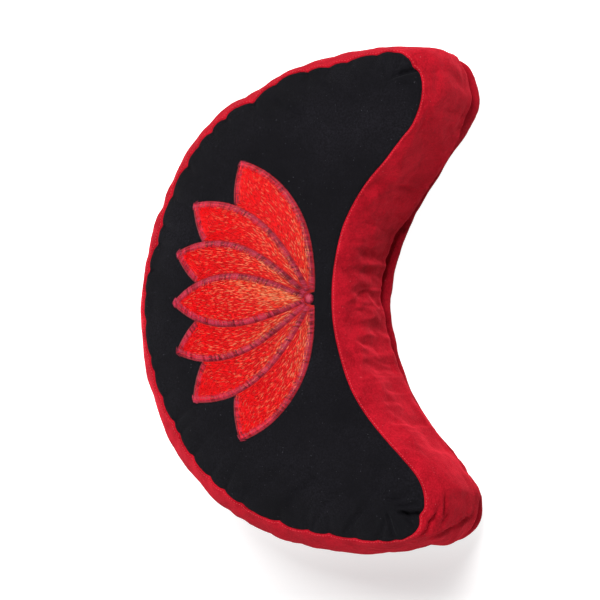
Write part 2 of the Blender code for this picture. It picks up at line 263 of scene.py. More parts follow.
# The gathers: (place, pull) where the longer convex edge is drawn in by the seam
GATHERS = (
    (-1.18, 0.3), (-1.06, 0.5), (-0.97, 0.5), (-0.91, 0.8), (-0.84, 1.1), (-0.78, 1.0), (-0.70, 0.9),
    (-0.59, 0.9), (-0.53, 1.3), (-0.48, 0.8), (-0.41, 1.0), (-0.345, 0.8), (-0.31, 1.3), (-0.24, 0.6),
    (-0.17, 0.6), (-0.13, 0.6), (-0.04, 0.4), (0.03, 0.5), (0.09, 1.3), (0.16, 1.5), (0.21, 1.1),
    (0.29, 0.7), (0.375, 1.3), (0.43, 0.5), (0.48, 1.2), (0.53, 1.3), (0.615, 1.8), (0.69, 0.7),
    (0.78, 0.9), (0.84, 0.8), (0.89, 0.9), (0.97, 0.6), (1.06, 0.4), (1.17, 0.4),
)
GATHER_FADE = 0.016
SCALLOP = 0.0013
CUSPS = np.array([travel(place) for place, pull in GATHERS])
CUSP_PULL = np.array([pull for place, pull in GATHERS])
CUSP_REACH = np.random.RandomState(11).uniform(0.012, 0.034, len(CUSPS))

Pinch = namedtuple("Pinch", "place depth width")
PINCHES = (Pinch(1.285, 0.0022, 0.045), Pinch(-1.412, 0.0030, 0.050))


def cusp_dips(turn, reach=None, inset=0.0):
    """Narrow dips at the gathers; with a reach they fade out over the face."""
    total = np.zeros(np.broadcast(turn, inset).shape)
    for k in range(len(CUSPS)):
        near = np.abs(wrapped(turn - CUSPS[k]))
        spread = 0.0026 + 0.10 * inset
        fade = 1.0 if reach is None else np.exp(-(inset / (reach * CUSP_REACH[k])) ** 1.3)
        total += CUSP_PULL[k] * np.exp(-(near / spread) ** 1.4) * fade
    return total


def soft_gather(pat):
    """The seam's wander and the pinch in each horn."""
    shift = wander(pat.turn, SEAM_DRAWN, 0.006)
    for pinch in PINCHES:
        near = wrapped(pat.turn - travel(pinch.place)) / HORN_LENGTH
        shift -= pinch.depth * np.exp(-(near / pinch.width) ** 2)
    return shift


def fine_gather(pat):
    """Scallops that bulge between the gathers, fading out where the seam turns into the bay."""
    size = 1 - ease((pat.place - 1.08) / 0.25)
    after = np.clip(np.searchsorted(CUSPS, pat.turn), 1, len(CUSPS) - 1)
    gap = CUSPS[after] - CUSPS[after - 1]
    part = np.clip((pat.turn - CUSPS[after - 1]) / gap, 0, 1)
    bulge = 4 * part * (1 - part) * np.minimum(gap / 0.022, 1.3)
    small = 0.25 * lumps(pat.turn, 0 * pat.turn, 0.006, 12)
    return SCALLOP * size * (0.75 * bulge - 0.95 * cusp_dips(pat.turn) - 0.1 + small)


SOFT = soft_gather(PAT)
FINE = fine_gather(PAT)


def ring(pat, offset, height):
    """Points of one loop, or of a stack of loops, moved out from the seam line."""
    offset, height = np.broadcast_arrays(offset, height)
    offset, height = np.broadcast_arrays(offset + 0 * pat.turn, height + 0 * pat.turn)
    xy = pat.edge + pat.out * offset[..., None]
    return np.stack((xy[..., 0], xy[..., 1] + SHIFT_Y, height), -1)


def crown(share, width):
    top = FACE_CROWN * (width / MID_WIDTH) ** CROWN_FADE
    return top * (1 - (1 - share) ** CROWN_POWER)


# Depth of the folded rear edge as (place, mm); it is sewn down on the convex side
FLAP_EDGE = (
    (-3.000, 87.0), (-2.900, 91.0), (-2.690, 92.0), (-2.510, 93.0), (-2.200, 92.0), (-2.000, 86.0),
    (-1.840, 77.0), (-1.610, 87.0), (-1.450, 90.0), (-1.320, 88.0), (-1.050, 84.0), (0.000, 84.0),
    (1.200, 84.0), (1.580, 86.0), (1.754, 80.0), (2.000, 86.0), (2.150, 92.0), (2.340, 92.0),
    (2.530, 88.5), (2.740, 88.0), (2.890, 84.0), (2.960, 82.5),
)


def flap_depth(pat):
    """Depth of the band's folded rear edge, which waves where it hangs free in the bay."""
    wave = np.sin(pat.along / 0.021) + 0.6 * np.sin(pat.along / 0.0125 + 1.0)
    return wander(pat.turn, FLAP_EDGE, 0.009) + pat.bay * 0.0006 * wave


# How far the loose rear edge springs out over the strip behind it, fitted like SIDE_PUSHED
FLAP_FLARE = at_tenths(
    -0.3, -1.6, 1.1, 4.4, 4.6, 4.3, 3.4, 4.1, 4.1, 2.7, -0.4, -0.1, -0.1, 0.0, 0.3,
    0.6, 0.5, 0.3, 0.1, 0.0, 0.0, 0.0, 0.0, 0.0, 0.0, 0.0, 0.0, 0.0, 0.0, 0.0,
    0.0, 0.0, 0.0, 0.0, 0.0, 0.0, 0.0, 0.0, 0.0, 0.0, 0.0, 0.0, 0.0, 0.1, 0.1,
    0.1, 0.1, 0.3, 0.7, 1.5, 2.7, 3.2, 4.0, 3.8, 2.4, 1.1, -0.7, -1.8, -2.0, -2.6)


# How far the strip behind it is drawn in, fitted like SIDE_PUSHED
STRIP_DRAWN = at_tenths(
    2.8, 0.0, -0.4, -0.3, 0.2, 1.3, 0.0, 1.3, 2.1, 0.5, -0.3, 6.5, 6.2, 6.6, 1.8,
    -0.9, 1.6, 5.1, 5.7, 2.7, 1.1, 0.3, 0.1, 0.0, 0.0, 0.0, 0.0, 0.0, 0.0, 0.0,
    0.0, 0.0, 0.0, 0.0, 0.0, 0.0, 0.0, 0.0, 0.0, -0.3, -1.4, -3.6, 0.1, 1.4, -3.6,
    -2.6, 1.3, -0.4, 3.4, 4.4, 2.5, 1.1, -0.9, -0.4, 0.5, -0.3, -2.7, -1.2, -0.5, -0.7)


def flare(pat, depth):
    return wander(pat.turn, FLAP_FLARE, 0.009) * ease((depth - FLARE_START) / FLARE_RUN)


Fold = namedtuple("Fold", "x depth width")
BAY_FOLDS = (
    Fold(0.046, 0.0014, 0.006),
    Fold(0.030, 0.0011, 0.006),
    Fold(0.006, 0.0024, 0.008),
    Fold(-0.041, 0.0014, 0.007),
    Fold(-0.062, 0.0010, 0.007),
)


def bay_fold(pat, depth):
    total = 0.0
    for fold in BAY_FOLDS:
        total = total + fold.depth * np.exp(-((pat.edge[:, 0] - fold.x) / fold.width) ** 2)
    return np.where(pat.bay < 1, 0.0, total) * ease(depth / FLAP_DEPTH)


def band_offset(pat, depth, soft, fine):
    """How far the side stands out from the seam line at a depth below the face seam."""
    offset = BAND_EDGE + pat.swell * (1 - np.abs(2 * depth / SIDE_DEPTH - 1) ** BAND_POWER)
    offset = offset + soft * np.exp(-depth / GATHER_FADE) + fine * np.exp(-depth / FINE_FADE)
    groove = np.exp(-((depth - FLAP_DEPTH) / GROOVE_WIDE) ** 2)
    return offset - SEWN_GROOVE * (1 - pat.bay) * groove - bay_fold(pat, depth) + flare(pat, depth)


def recess_floor(pat, flap):
    behind = band_offset(pat, flap, SOFT, FINE) - BAND_CLOTH - CLOTH_GAP - 0.0012
    root = blend(SEAM_ROOT, PLACKET_ROOT, pat.bay)
    root = root - PLACKET_TUCK * pat.bay + 0.8 * np.minimum(wander(pat.turn, FLAP_FLARE, 0.009), 0.0)
    return np.minimum(root, behind)


def strip_offset(pat, share, flap):
    """The rear strip: a narrow roll with small cross wrinkles, flat creases at its two seams."""
    root = blend(recess_floor(pat, flap), STRIP_EDGE, share)
    swell = pat.swell * blend(0.80, 0.95, pat.bay)
    late = share ** blend(1.0, 1.3, pat.bay)
    bulge = 1 - np.abs(2 * late - 1) ** 2.4
    swell = swell - wander(pat.turn, STRIP_DRAWN, 0.009)
    depth = blend(flap, SIDE_DEPTH, share)
    uneven = 0.0009 * lumps(PAT.turn, depth, 0.019, 5) + 0.0005 * lumps(PAT.turn, depth, 0.009, 6)
    return root + (swell + uneven) * bulge


def placed(name, data):
    """An object with that mesh, lamp or camera, put in the scene."""
    obj = bpy.data.objects.new(name, data)
    bpy.context.scene.collection.objects.link(obj)
    return obj


def ring_mesh(name, rings, loop=False):
    """A mesh of quads between closed loops of points."""
    count, around = rings.shape[:2]
    index = np.arange(count * around).reshape(count, around)
    upper = index if loop else index[:-1]
    lower = np.roll(index, -1, axis=0) if loop else index[1:]
    quads = np.stack((upper, lower, np.roll(lower, -1, axis=1), np.roll(upper, -1, axis=1)), -1)
    mesh = bpy.data.meshes.new(name)
    mesh.from_pydata(rings.reshape(-1, 3).tolist(), [], quads.reshape(-1, 4).tolist())
    return mesh


def skin(name, rings, loop=False):
    """A smooth piece of such quads; points that fall together are merged."""
    mesh = ring_mesh(name, rings, loop)
    bm = bmesh.new()
    bm.from_mesh(mesh)
    bmesh.ops.remove_doubles(bm, verts=bm.verts, dist=0.00002)
    bmesh.ops.recalc_face_normals(bm, faces=bm.faces)
    bm.to_mesh(mesh)
    bm.free()
    mesh.shade_smooth()
    return placed(name, mesh)


FLAP = flap_depth(PAT)
FACE_SHARES = (1.0, 0.8, 0.6, 0.4, 0.2, 0.06)
under_face = np.array([ring(
    PAT, -share * PAT.width + (SOFT - UNDER_FACE_PULL) * (1 - share) ** 2,
    FACE_SEAM_Z + crown(share, PAT.width) - FACE_CLOTH - UNDER_FACE_ROOM) for share in FACE_SHARES])
BAND_SHARES = np.array((0.06, 0.17, 0.38, 0.64, 0.80))[:, None]
under_depth = BAND_SHARES * FLAP
under_band = ring(
    PAT, band_offset(PAT, under_depth, SOFT, FINE * 0) - BAND_CLOTH - UNDER_BAND_ROOM,
    FACE_SEAM_Z - under_depth)
recess_shares = np.array((0.90, 0.97, 1.0))[:, None]
tucked = np.maximum(-wander(PAT.turn, FLAP_FLARE, 0.009), 0.0)
STRIP_TOP = FLAP + PLACKET_TUCK * PAT.bay + 2.0 * tucked
recess = ring(PAT, recess_floor(PAT, FLAP), FACE_SEAM_Z - recess_shares * STRIP_TOP - 0.0006)
strip_shares = np.sin(np.linspace(-1, 1, 29)[1:-1] * math.pi / 2)[:, None] * 0.5 + 0.5
strip = ring(
    PAT, strip_offset(PAT, strip_shares, STRIP_TOP),
    FACE_SEAM_Z - blend(STRIP_TOP, SIDE_DEPTH, strip_shares))
BACK_INSETS = (-STRIP_EDGE, 0.010, 0.019, FLAT_INSET)
over_back = np.array([ring(
    PAT, -inset,
    BACK_SEAM_Z * max(1 - max(inset, 0) / FLAT_INSET, 0) ** 2 + BACK_CLOTH + CLOTH_GAP)
    for inset in BACK_INSETS])
middle = ring(PAT, -PAT.width, BACK_CLOTH + CLOTH_GAP)[None]
body = skin("filled_body", np.concatenate(
    (under_face, under_band, recess, strip, over_back, middle)))


def node_group(name, inputs, outputs):
    """An empty shader node group with named sockets."""
    group = bpy.data.node_groups.new(name, "ShaderNodeTree")
    for label, kind, value in inputs:
        socket = group.interface.new_socket(label, in_out="INPUT", socket_type="NodeSocket" + kind)
        socket.default_value = value
    for label, kind in outputs:
        group.interface.new_socket(label, in_out="OUTPUT", socket_type="NodeSocket" + kind)
    return group


def add(tree, kind, **settings):
    """A node of that kind; a setting named after an input fills the input instead."""
    node = tree.nodes.new("ShaderNode" + kind)
    for label, value in settings.items():
        if hasattr(node, label):
            setattr(node, label, value)
        else:
            node.inputs[label.replace("_", " ")].default_value = value
    return node


def feed(tree, socket, value):
    """Fills a socket with a number or a colour, or links another node's output to it."""
    if isinstance(value, bpy.types.NodeSocket):
        tree.links.new(value, socket)
    elif isinstance(value, tuple):
        socket.default_value = (*value, 1.0)
    else:
        socket.default_value = value


def noise(tree, where, scale, detail=3.0, rough=0.55, warp=0.0):
    node = add(tree, "TexNoise", Detail=detail, Roughness=rough, Distortion=warp)
    feed(tree, node.inputs["Vector"], where)
    feed(tree, node.inputs["Scale"], scale)
    return node.outputs["Fac"]


def math_of(tree, operation, first, second):
    node = add(tree, "Math", operation=operation)
    for socket, value in zip(node.inputs, (first, second)):
        feed(tree, socket, value)
    return node.outputs[0]


def ranged(tree, value, low, high, to_low, to_high):
    node = add(tree, "MapRange", From_Min=low, From_Max=high, To_Min=to_low, To_Max=to_high)
    feed(tree, node.inputs["Value"], value)
    return node.outputs["Result"]


def mixed(tree, share, first, second):
    """Mix of two colours or colour outputs by a value."""
    node = add(tree, "Mix", data_type="RGBA")
    feed(tree, node.inputs["Factor"], share)
    colours = [socket for socket in node.inputs if socket.type == "RGBA"]
    feed(tree, colours[0], first)
    feed(tree, colours[1], second)
    return [socket for socket in node.outputs if socket.type == "RGBA"][0]


def make_nap_group():
    """Brushed nap: cloudy patches where the pile leans, fine fuzz and a few pale specks."""
    group = node_group(
        "brushed_nap",
        (("Lying Down", "Color", (0.3, 0.01, 0.02, 1)), ("Standing Up", "Color", (0.5, 0.02, 0.03, 1)),
         ("Lint", "Color", (0.7, 0.3, 0.3, 1)),
         ("Patch Scale", "Float", 30.0), ("Fuzz Scale", "Float", 560.0)),
        (("Color", "Color"), ("Height", "Float")))
    given = group.nodes.new("NodeGroupInput")
    result = group.nodes.new("NodeGroupOutput")
    where = add(group, "TexCoord").outputs["Object"]
    patch = noise(group, where, given.outputs["Patch Scale"], 5.0, 0.68, 0.8)
    fuzz = noise(group, where, given.outputs["Fuzz Scale"], 3.0, 0.7)
    lean = ranged(group, patch, 0.36, 0.64, 0.0, 1.0)
    grain = ranged(group, fuzz, 0.36, 0.64, 0.0, 1.0)
    lean_part = math_of(group, "MULTIPLY", lean, 0.52)
    grain_part = math_of(group, "MULTIPLY", grain, 0.48)
    both = math_of(group, "ADD", lean_part, grain_part)
    cloth = mixed(group, both, given.outputs["Lying Down"], given.outputs["Standing Up"])
    speck = ranged(group, noise(group, where, 620.0, 2.0, 0.5), 0.735, 0.775, 0.0, 0.55)
    linted = mixed(group, speck, cloth, given.outputs["Lint"])
    group.links.new(linted, result.inputs["Color"])
    group.links.new(grain, result.inputs["Height"])
    return group


NAP = make_nap_group()


def new_material(name, **values):
    """A material, its node tree and its shader with those values in its own sockets."""
    material = bpy.data.materials.new(name)
    material.use_nodes = True
    shader = material.node_tree.nodes["Principled BSDF"]
    for label, value in values.items():
        feed(material.node_tree, shader.inputs[label.replace("_", " ")], value)
    return material, material.node_tree, shader


def cloth_material(name, group, roughness, sheen, sheen_rough, tint, bump, **values):
    """A cloth with its own setting of a shared node group, sheen and a fine bump."""
    material, tree, shader = new_material(
        name, Roughness=roughness, Specular_IOR_Level=0.08,
        Sheen_Weight=sheen, Sheen_Roughness=sheen_rough, Sheen_Tint=tint)
    made = tree.nodes.new("ShaderNodeGroup")
    made.node_tree = group
    for label, value in values.items():
        made.inputs[label.replace("_", " ")].default_value = value
    relief = add(tree, "Bump", Strength=bump, Distance=0.0004)
    tree.links.new(made.outputs["Height"], relief.inputs["Height"])
    tree.links.new(relief.outputs["Normal"], shader.inputs["Normal"])
    tree.links.new(made.outputs["Color"], shader.inputs["Base Color"])
    return material


NAP_SHEEN = {"sheen": 0.62, "sheen_rough": 0.42, "tint": (1.0, 0.038, 0.070)}
STRIP_RED = cloth_material(
    "rear_strip_brushed_cotton", NAP, roughness=0.9, bump=0.35, **NAP_SHEEN,
    Lying_Down=(0.21, 0.001, 0.006, 1), Standing_Up=(0.48, 0.007, 0.020, 1),
    Lint=(0.62, 0.18, 0.20, 1), Patch_Scale=26.0)
body.data.materials.append(STRIP_RED)
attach(body, "root")
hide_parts("cushion_body")


# ---- Back panel ----------------------------------------------------------------------------
# Plain black cotton, cut to the same half moon. The cushion rests on it, so it is pressed flat,
# and it curls up to the back seam with the small gathers of that seam round its rim.

BACK_ROOM = 0.0010
BACK_ROWS = 26
share = np.linspace(0, 1, BACK_ROWS)[:, None] ** 1.5
back_inset = share * PAT.width
seam_wave = 0.0007 * lumps(PAT.turn, 0 * PAT.turn, 0.012, 21)
rim = np.maximum(1 - back_inset / FLAT_INSET, 0)
curl = BACK_SEAM_Z * rim ** 2
pleat = 0.0010 * lumps(PAT.turn, 0 * PAT.turn, 0.010, 22) * rim ** 2 * ease(back_inset / 0.003)
back_offset = BACK_ROOM * (1 - share) - back_inset + seam_wave * rim
under_side = ring(PAT, back_offset, np.maximum(curl + pleat * rim, 0.4 * curl))
over_side = np.concatenate((under_side[::-4], under_side[:1])) + np.array((0, 0, BACK_CLOTH))
back = skin("back_panel_cloth", np.concatenate((over_side, under_side)))


def make_weave_group():
    """Plain weave: crossed threads with a little slub, and soft wear in the colour."""
    group = node_group(
        "plain_weave",
        (("Cloth", "Color", (0.01, 0.01, 0.01, 1)), ("Worn", "Color", (0.02, 0.02, 0.02, 1)),
         ("Lint", "Color", (0.06, 0.06, 0.07, 1)),
         ("Thread Scale", "Float", 1500.0), ("Wear Scale", "Float", 14.0)),
        (("Color", "Color"), ("Height", "Float")))
    given = group.nodes.new("NodeGroupInput")
    result = group.nodes.new("NodeGroupOutput")
    where = add(group, "TexCoord").outputs["Object"]
    threads = []
    for axis in ("X", "Y"):
        wave = add(
            group, "TexWave", wave_type="BANDS", bands_direction=axis,
            Distortion=1.2, Detail=2.0, Detail_Scale=1.5)
        feed(group, wave.inputs["Vector"], where)
        feed(group, wave.inputs["Scale"], given.outputs["Thread Scale"])
        threads.append(wave.outputs["Fac"])
    woven = math_of(group, "ADD", threads[0], threads[1])
    wear = noise(group, where, given.outputs["Wear Scale"], 5.0, 0.6)
    slub = ranged(group, noise(group, where, 640.0, 3.0, 0.6), 0.38, 0.68, 0.0, 1.0)
    worn = math_of(group, "MULTIPLY", ranged(group, wear, 0.35, 0.7, 0.0, 0.7), slub)
    lit = math_of(group, "ADD", worn, math_of(group, "MULTIPLY", woven, 0.22))
    cloth = mixed(group, lit, given.outputs["Cloth"], given.outputs["Worn"])
    fleck = ranged(group, noise(group, where, 560.0, 2.0, 0.5), 0.725, 0.775, 0.0, 1.0)
    linted = mixed(group, fleck, cloth, given.outputs["Lint"])
    group.links.new(linted, result.inputs["Color"])
    group.links.new(math_of(group, "ADD", woven, slub), result.inputs["Height"])
    return group


WEAVE = make_weave_group()
BLACK_SHEEN = (0.75, 0.78, 0.85)
BACK_BLACK = cloth_material(
    "back_black_cotton", WEAVE, roughness=0.9, sheen=0.03, sheen_rough=0.45, tint=BLACK_SHEEN, bump=0.4,
    Cloth=(0.007, 0.007, 0.008, 1), Worn=(0.020, 0.020, 0.022, 1), Wear_Scale=9.0)
back.data.materials.append(BACK_BLACK)


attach(back, "root")
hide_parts("back_panel")


# ---- Side band -----------------------------------------------------------------------------
# One long strip of brushed red cotton round the side. Its front edge is turned in along the face
# seam, its rear edge is a folded hem: loose over the recess in the bay, sewn down elsewhere.

BAND_ROWS = 46
HEM_ROLL = 0.0014
HEM_WIDE = 0.013
HEM_CLOTH = 0.0028
BAND_CREASES = (
    Crease(((-1.520, 12.0), (-1.418, 9.0), (-1.344, 8.0), (-1.268, 6.0), (-1.195, 7.0)), 4.4, 1.8, 2.0),
    Crease(((-1.64, 17.0), (-1.58, 18.5), (-1.51, 20.5), (-1.43, 20.0)), 2.6, 1.7, 1.2),
    Crease(((-1.50, 28.0), (-1.45, 23.0), (-1.41, 19.5)), 2.2, 1.7, 1.0),
    Crease(((-1.52, 80.0), (-1.433, 54.0), (-1.373, 39.0), (-1.313, 23.0), (-1.235, 13.0)), 3.8, 2.0, 2.0),
    Crease(((-1.62, 60.0), (-1.60, 40.0), (-1.63, 24.0)), 1.3, 3.2, 0.5),
    Crease(((-1.74, 70.0), (-1.73, 45.0), (-1.76, 22.0)), 0.7, 5.0, 0.3),
    Crease(((1.398, 8.0), (1.392, 30.0), (1.388, 54.0)), 1.2, 2.6, 0.7),
    Crease(((1.27, 7.0), (1.25, 26.0), (1.27, 48.0)), 1.0, 3.0, 0.5),
    Crease(((1.52, 76.0), (1.44, 50.0), (1.42, 28.0)), 1.1, 3.2, 0.5),
    Crease(((1.70, 10.0), (1.69, 34.0), (1.72, 60.0)), 0.6, 5.0, 0.3),
    Crease(((2.690, 3.0), (2.655, 30.0), (2.620, 58.0)), 0.9, 3.2, 0.4),
    Crease(((2.795, 3.0), (2.765, 35.0), (2.730, 68.0)), 0.9, 3.2, 0.4),
    Crease(((3.035, 12.0), (2.995, 28.0), (2.931, 50.0), (2.971, 65.0), (3.030, 88.0)), 1.5, 3.8, 0.7),
    Crease(((-2.690, 3.0), (-2.705, 44.0), (-2.725, 86.0)), 1.0, 3.4, 0.5),
    Crease(((-2.520, 3.0), (-2.545, 44.0), (-2.570, 86.0)), 0.9, 3.4, 0.4),
    Crease(((2.30, 4.0), (2.29, 40.0), (2.33, 80.0)), 0.6, 4.5, 0.2),
    Crease(((-2.25, 4.0), (-2.27, 40.0), (-2.24, 80.0)), 0.6, 4.5, 0.2),
)


def cross_creases(seed, count, places, deep, wide):
    """Soft wrinkles across the band at uneven steps, most of them reaching its free edge."""
    rng = np.random.RandomState(seed)
    folds = []
    for k in range(count):
        place = blend(places[0], places[1], (k + rng.uniform(0.15, 0.85)) / count)
        lean = rng.uniform(-0.05, 0.05)
        top = rng.choice((rng.uniform(2.0, 12.0), rng.uniform(16.0, 38.0)))
        low = rng.choice((rng.uniform(56.0, 74.0), 96.0))
        bend = rng.uniform(-0.025, 0.025)
        line = ((place, top), (place + lean / 2 + bend, (top + low) / 2), (place + lean, low))
        size = rng.uniform(0.45, 1.0)
        folds.append(Crease(line, size * deep, wide * rng.uniform(0.8, 1.3), 0.7 * size * deep))
    return tuple(folds)


WRINKLES = (
    *cross_creases(51, 9, (2.20, 3.0), 1.9, 4.2),
    *cross_creases(52, 9, (-3.0, -2.15), 1.8, 4.2),
    *cross_creases(56, 12, (2.20, 3.0), 0.8, 2.2),
    *cross_creases(57, 12, (-3.0, -2.15), 0.8, 2.2),
    *cross_creases(53, 7, (1.15, 2.05), 1.3, 3.4),
    *cross_creases(54, 6, (-2.0, -1.15), 1.2, 3.4),
    *cross_creases(55, 12, (-1.0, 1.0), 1.0, 4.0),
)


COTTON_FEEL = {
    "quality": 7, "mass": 0.15, "air_damping": 1.0, "tension_stiffness": 20, "compression_stiffness": 20,
    "shear_stiffness": 8, "bending_stiffness": 0.25, "pin_stiffness": 3,
}


def settle(start, held, spare, pressure, frames):
    """Lets cloth cut a little larger than its place fill out and wrinkle between its seams."""
    sheet = placed("settling", ring_mesh("settling", start))
    group = sheet.vertex_groups.new(name="held")
    for number, weight in enumerate(held.reshape(-1)):
        if weight > 0:
            group.add([number], float(weight), "REPLACE")
    cloth = sheet.modifiers.new("Cloth", "CLOTH")
    for label, value in COTTON_FEEL.items():
        setattr(cloth.settings, label, value)
    cloth.settings.vertex_group_mass = "held"
    cloth.settings.shrink_min = -spare
    cloth.settings.use_pressure = True
    cloth.settings.uniform_pressure_force = pressure
    cloth.settings.effector_weights.gravity = 0
    cloth.collision_settings.use_collision = False
    cloth.collision_settings.use_self_collision = False
    scene = bpy.context.scene
    for frame_number in range(1, frames + 1):
        scene.frame_set(frame_number)
    settled = sheet.evaluated_get(bpy.context.evaluated_depsgraph_get())
    found = np.empty(start.size)
    settled.data.vertices.foreach_get("co", found)
    scene.frame_set(1)
    bpy.data.objects.remove(sheet)
    return found.reshape(start.shape)


SETTLE_ROWS = 30
SETTLE_FRAMES = 20
BAND_SPARE = 0.032          # the band is cut this much larger than its place
FREE_HEM_HOLD = 0.7
FILL_PRESSURE = 2.0
START_UNEVEN = 0.0003       # so that the slack doesn't wrinkle at even steps
MOST_PUSH = 0.012
WIDE_REACH = 0.035          # the push's average this far to both sides is taken off again
SETTLED_SHARE = 0.85
WRINKLE_SHARE = 0.7
COARSE = cut_pattern(200, 26)
COARSE = COARSE._replace(swell=COARSE.swell + wander(COARSE.turn, SIDE_PUSHED, 0.006))


def settled_band():
    """How far the filling and the spare length push each point of the band in or out."""
    flap = flap_depth(COARSE)
    part = np.linspace(0, 1, SETTLE_ROWS)[:, None]
    depth = 0.001 + part * (flap - 0.001)
    offset = band_offset(COARSE, depth, soft_gather(COARSE), fine_gather(COARSE))
    free = ease(part * 8) * ease((1 - part) * 8)
    offset = offset + START_UNEVEN * lumps(COARSE.turn, 0.3 * depth, 0.013, 61) * free
    start = ring(COARSE, offset, FACE_SEAM_Z - depth)
    held = np.zeros(depth.shape)
    held[0] = 1.0
    held[-1] = blend(1.0, FREE_HEM_HOLD, COARSE.bay)
    moved = settle(start, held, BAND_SPARE, FILL_PRESSURE, SETTLE_FRAMES) - start
    push = np.clip(np.sum(moved[..., :2] * COARSE.out, axis=2), -MOST_PUSH, MOST_PUSH)
    wide = np.zeros(push.shape)
    order = np.argsort(COARSE.turn)
    slides = np.linspace(-WIDE_REACH, WIDE_REACH, 15)
    for slide in slides:
        beside = wrapped(COARSE.turn + slide)
        for row in range(SETTLE_ROWS):
            wide[row] += np.interp(beside, COARSE.turn[order], push[row][order]) / len(slides)
    push = push - wide
    push = (np.roll(push, 1, axis=1) + 2 * push + np.roll(push, -1, axis=1)) / 4
    return push


BAND_SETTLED = settled_band()


def settled_push(pat, depth):
    """The settled push read at a length round the seam and a depth."""
    if BAND_SETTLED is None:
        return 0.0
    order = np.argsort(COARSE.turn)
    keys = COARSE.turn[order]
    values = BAND_SETTLED[:, order]
    near = np.clip(np.searchsorted(keys, pat.turn), 1, len(keys) - 1)
    part = np.clip((pat.turn - keys[near - 1]) / (keys[near] - keys[near - 1]), 0, 1)
    columns = blend(values[:, near - 1], values[:, near], part)
    level = np.clip(depth / FLAP, 0, 1) * (SETTLE_ROWS - 1)
    level = np.broadcast_to(level, np.broadcast(level, pat.turn).shape)
    low = np.minimum(np.floor(level).astype(int), SETTLE_ROWS - 2)
    across = np.broadcast_to(np.arange(len(pat.turn)), level.shape)
    return blend(columns[low, across], columns[low + 1, across], level - low)


def band_shape(pat, depth):
    """Outside of the band with its creases, soft lumps and the loose edge's flare."""
    offset = band_offset(pat, depth, SOFT, FINE) + SETTLED_SHARE * settled_push(pat, depth)
    held = ease(depth / 0.012)
    offset = offset + creases(pat.turn, depth, BAND_CREASES)
    offset = offset + WRINKLE_SHARE * creases(pat.turn, depth, WRINKLES)
    offset = offset + held * 0.0013 * lumps(pat.turn, depth, 0.043, 31)
    offset = offset + held * 0.0006 * lumps(pat.turn, depth, 0.019, 32)
    loose = ease((depth - 0.050) / 0.034) * pat.bay
    lipped = 0.0014 * ease((depth - 0.074) / 0.010) * ease((pat.place - 1.2) / 0.3)
    return offset + lipped + loose * (0.0008 + 0.0014 * lumps(pat.turn, 0 * depth, 0.033, 34))


hem_start = FLAP - HEM_ROLL
rows = np.linspace(0.0, 1.0, BAND_ROWS)[:, None]
outer_depth = 0.0010 + rows ** 1.12 * (hem_start - 0.0010)
outer_offset = band_shape(PAT, outer_depth)
SEAM_SHIFT = SOFT + FINE
turned_in = np.array((      # the front edge behind the seam, as (offset, depth)
    (-0.0010, 0.0046), (-0.0008, 0.0026), (-0.0004, 0.0014), (0.0002, 0.0008), (0.0009, 0.0006)))
top_offset = turned_in[:, :1] + SEAM_SHIFT
top_depth = turned_in[:, 1:] + 0 * SEAM_SHIFT
hem_angle = np.radians(np.linspace(30, 180, 6))[:, None]
hem_offset = outer_offset[-1] - HEM_ROLL * (1 - np.cos(hem_angle))
hem_depth = hem_start + HEM_ROLL * np.sin(hem_angle)
inner_steps = np.array((0.004, 0.008, HEM_WIDE, HEM_WIDE + 0.0012))[:, None]
inner_depth = hem_start - inner_steps
inner_cloth = np.array((HEM_CLOTH, HEM_CLOTH, HEM_CLOTH, BAND_CLOTH))[:, None]
back_up = np.linspace(1, 0, 12)[1:-1, None]
up_depth = 0.005 + back_up * (hem_start - HEM_WIDE - 0.008)
inner_offset = np.concatenate((
    band_shape(PAT, inner_depth) - inner_cloth, band_shape(PAT, up_depth) - BAND_CLOTH * 1.12))
inner_all = np.concatenate((inner_depth, up_depth))
band_rings = ring(
    PAT, np.concatenate((top_offset, outer_offset, hem_offset, inner_offset)),
    FACE_SEAM_Z - np.concatenate((top_depth, outer_depth, hem_depth, inner_all)))
band = skin("side_band_cloth", band_rings, loop=True)

BAND_RED = cloth_material(
    "side_band_brushed_cotton", NAP, roughness=0.88, bump=0.4, **NAP_SHEEN,
    Lying_Down=(0.215, 0.001, 0.006, 1), Standing_Up=(0.51, 0.007, 0.020, 1),
    Lint=(0.66, 0.20, 0.22, 1), Patch_Scale=34.0)
band.data.materials.append(BAND_RED)
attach(band, "root")
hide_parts("side_band")


# ---- Face panel ----------------------------------------------------------------------------
# Fine black cotton over the filling, turned down all round into the seam with the band. The
# longer convex edge is gathered, so small puckers run in from that seam and from both horns.

